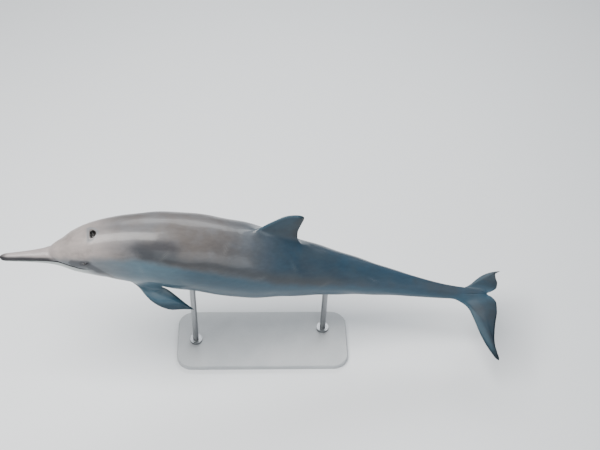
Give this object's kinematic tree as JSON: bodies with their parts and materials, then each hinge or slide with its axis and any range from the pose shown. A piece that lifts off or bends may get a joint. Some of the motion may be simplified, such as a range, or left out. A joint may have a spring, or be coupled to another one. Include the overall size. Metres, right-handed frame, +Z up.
{
  "type": "spinner dolphin model",
  "caption": "Still life-size model of an adult spinner dolphin, arched as it surfaces to breathe, held above a flat base by short upright rods.",
  "frame": {"origin": "on the floor under the middle of the whole object", "axes": "the dolphin faces -X, its left side faces -Y, +Z is up"},
  "size_m": [1.8984, 0.4454, 0.7422],
  "materials": {
    "skin": "smooth wet skin, dark grey cape and fins, lighter grey sides, white belly",
    "eye": "wet dark brown eyeball",
    "stand_base": "pale satin paint",
    "stand_rod": "brushed round bar"
  },
  "bodies": {
    "root": {"beak_upper": "skin", "lower_jaw": "skin", "head": "skin", "neck": "skin", "trunk_front": "skin", "trunk_middle": "skin", "trunk_rear": "skin", "tail_stock_front": "skin", "tail_stock_rear": "skin", "dorsal_fin": "skin", "flipper_left": "skin", "flipper_right": "skin", "fluke_left": "skin", "fluke_right": "skin", "eye_left": "eye", "eye_right": "eye", "stand_base": "stand_base", "stand_rod_front": "stand_rod", "stand_rod_rear": "stand_rod"}
  },
  "joints": []
}
